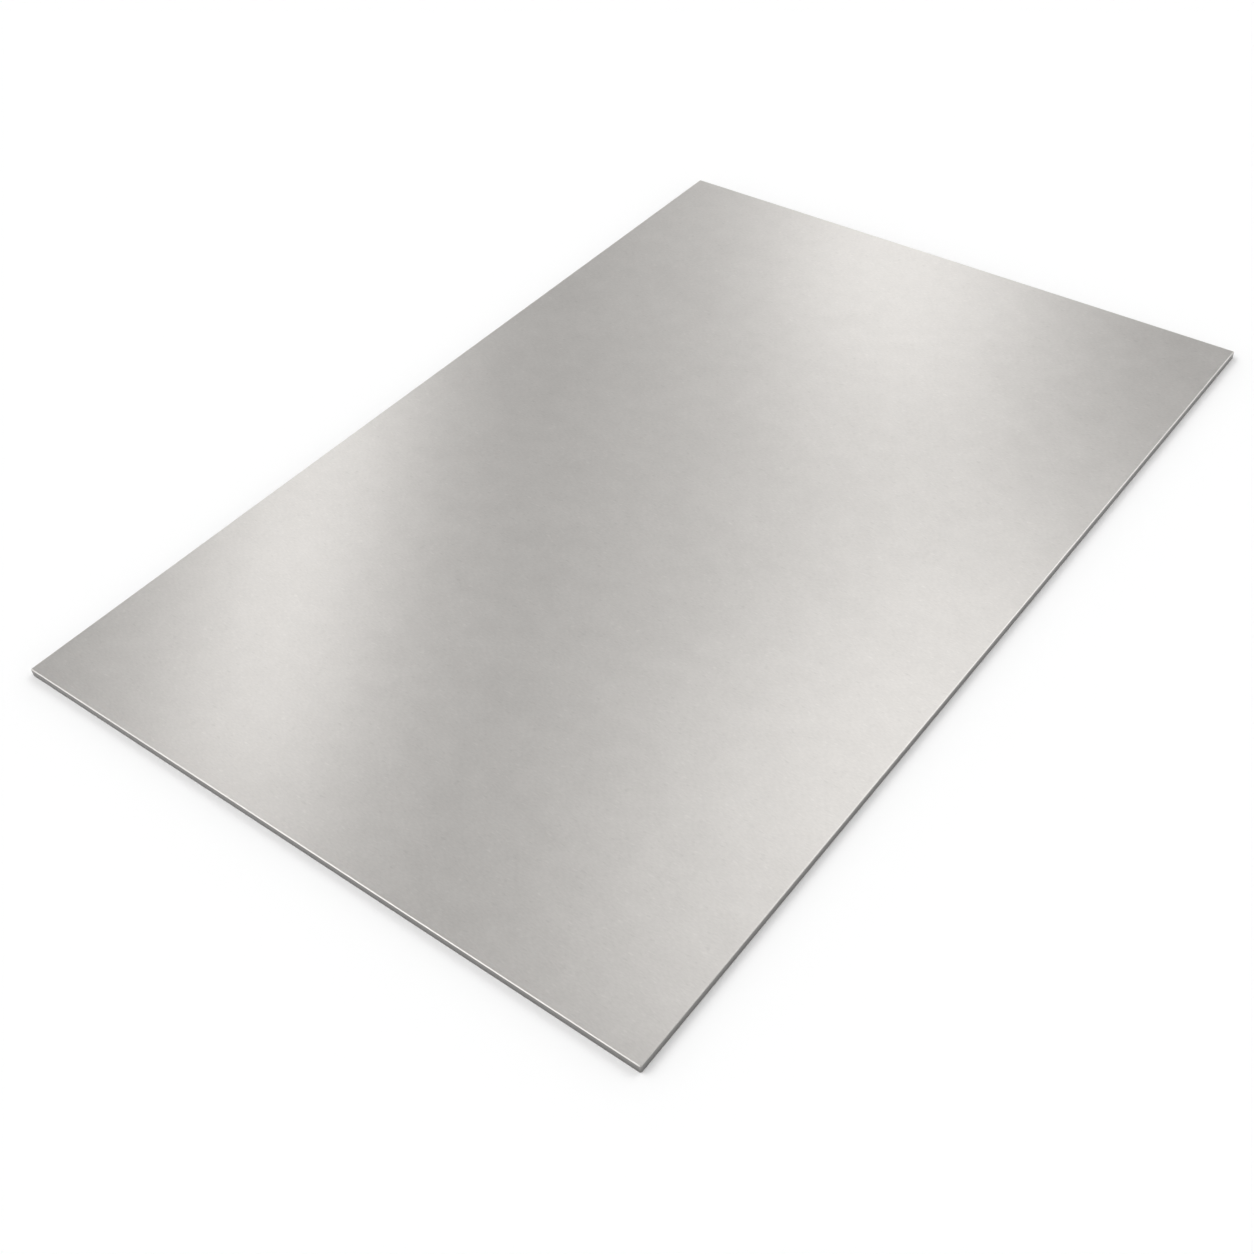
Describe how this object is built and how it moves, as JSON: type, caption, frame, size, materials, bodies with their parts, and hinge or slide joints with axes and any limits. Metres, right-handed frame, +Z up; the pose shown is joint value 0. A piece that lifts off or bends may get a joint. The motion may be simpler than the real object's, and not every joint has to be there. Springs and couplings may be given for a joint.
{
  "type": "steel plate",
  "caption": "Flat rectangular steel plate of raw stock, cut square, with a satin light grey finish, eased edges and slightly rounded corners.",
  "frame": {"origin": "centre of the underside, on the surface that the plate lies on", "axes": "+X along the length, +Y along the width, +Z up out of the top face"},
  "size_m": [0.6, 0.4, 0.005],
  "materials": {
    "steel": "satin"
  },
  "bodies": {
    "root": {"plate": "steel"}
  },
  "joints": []
}
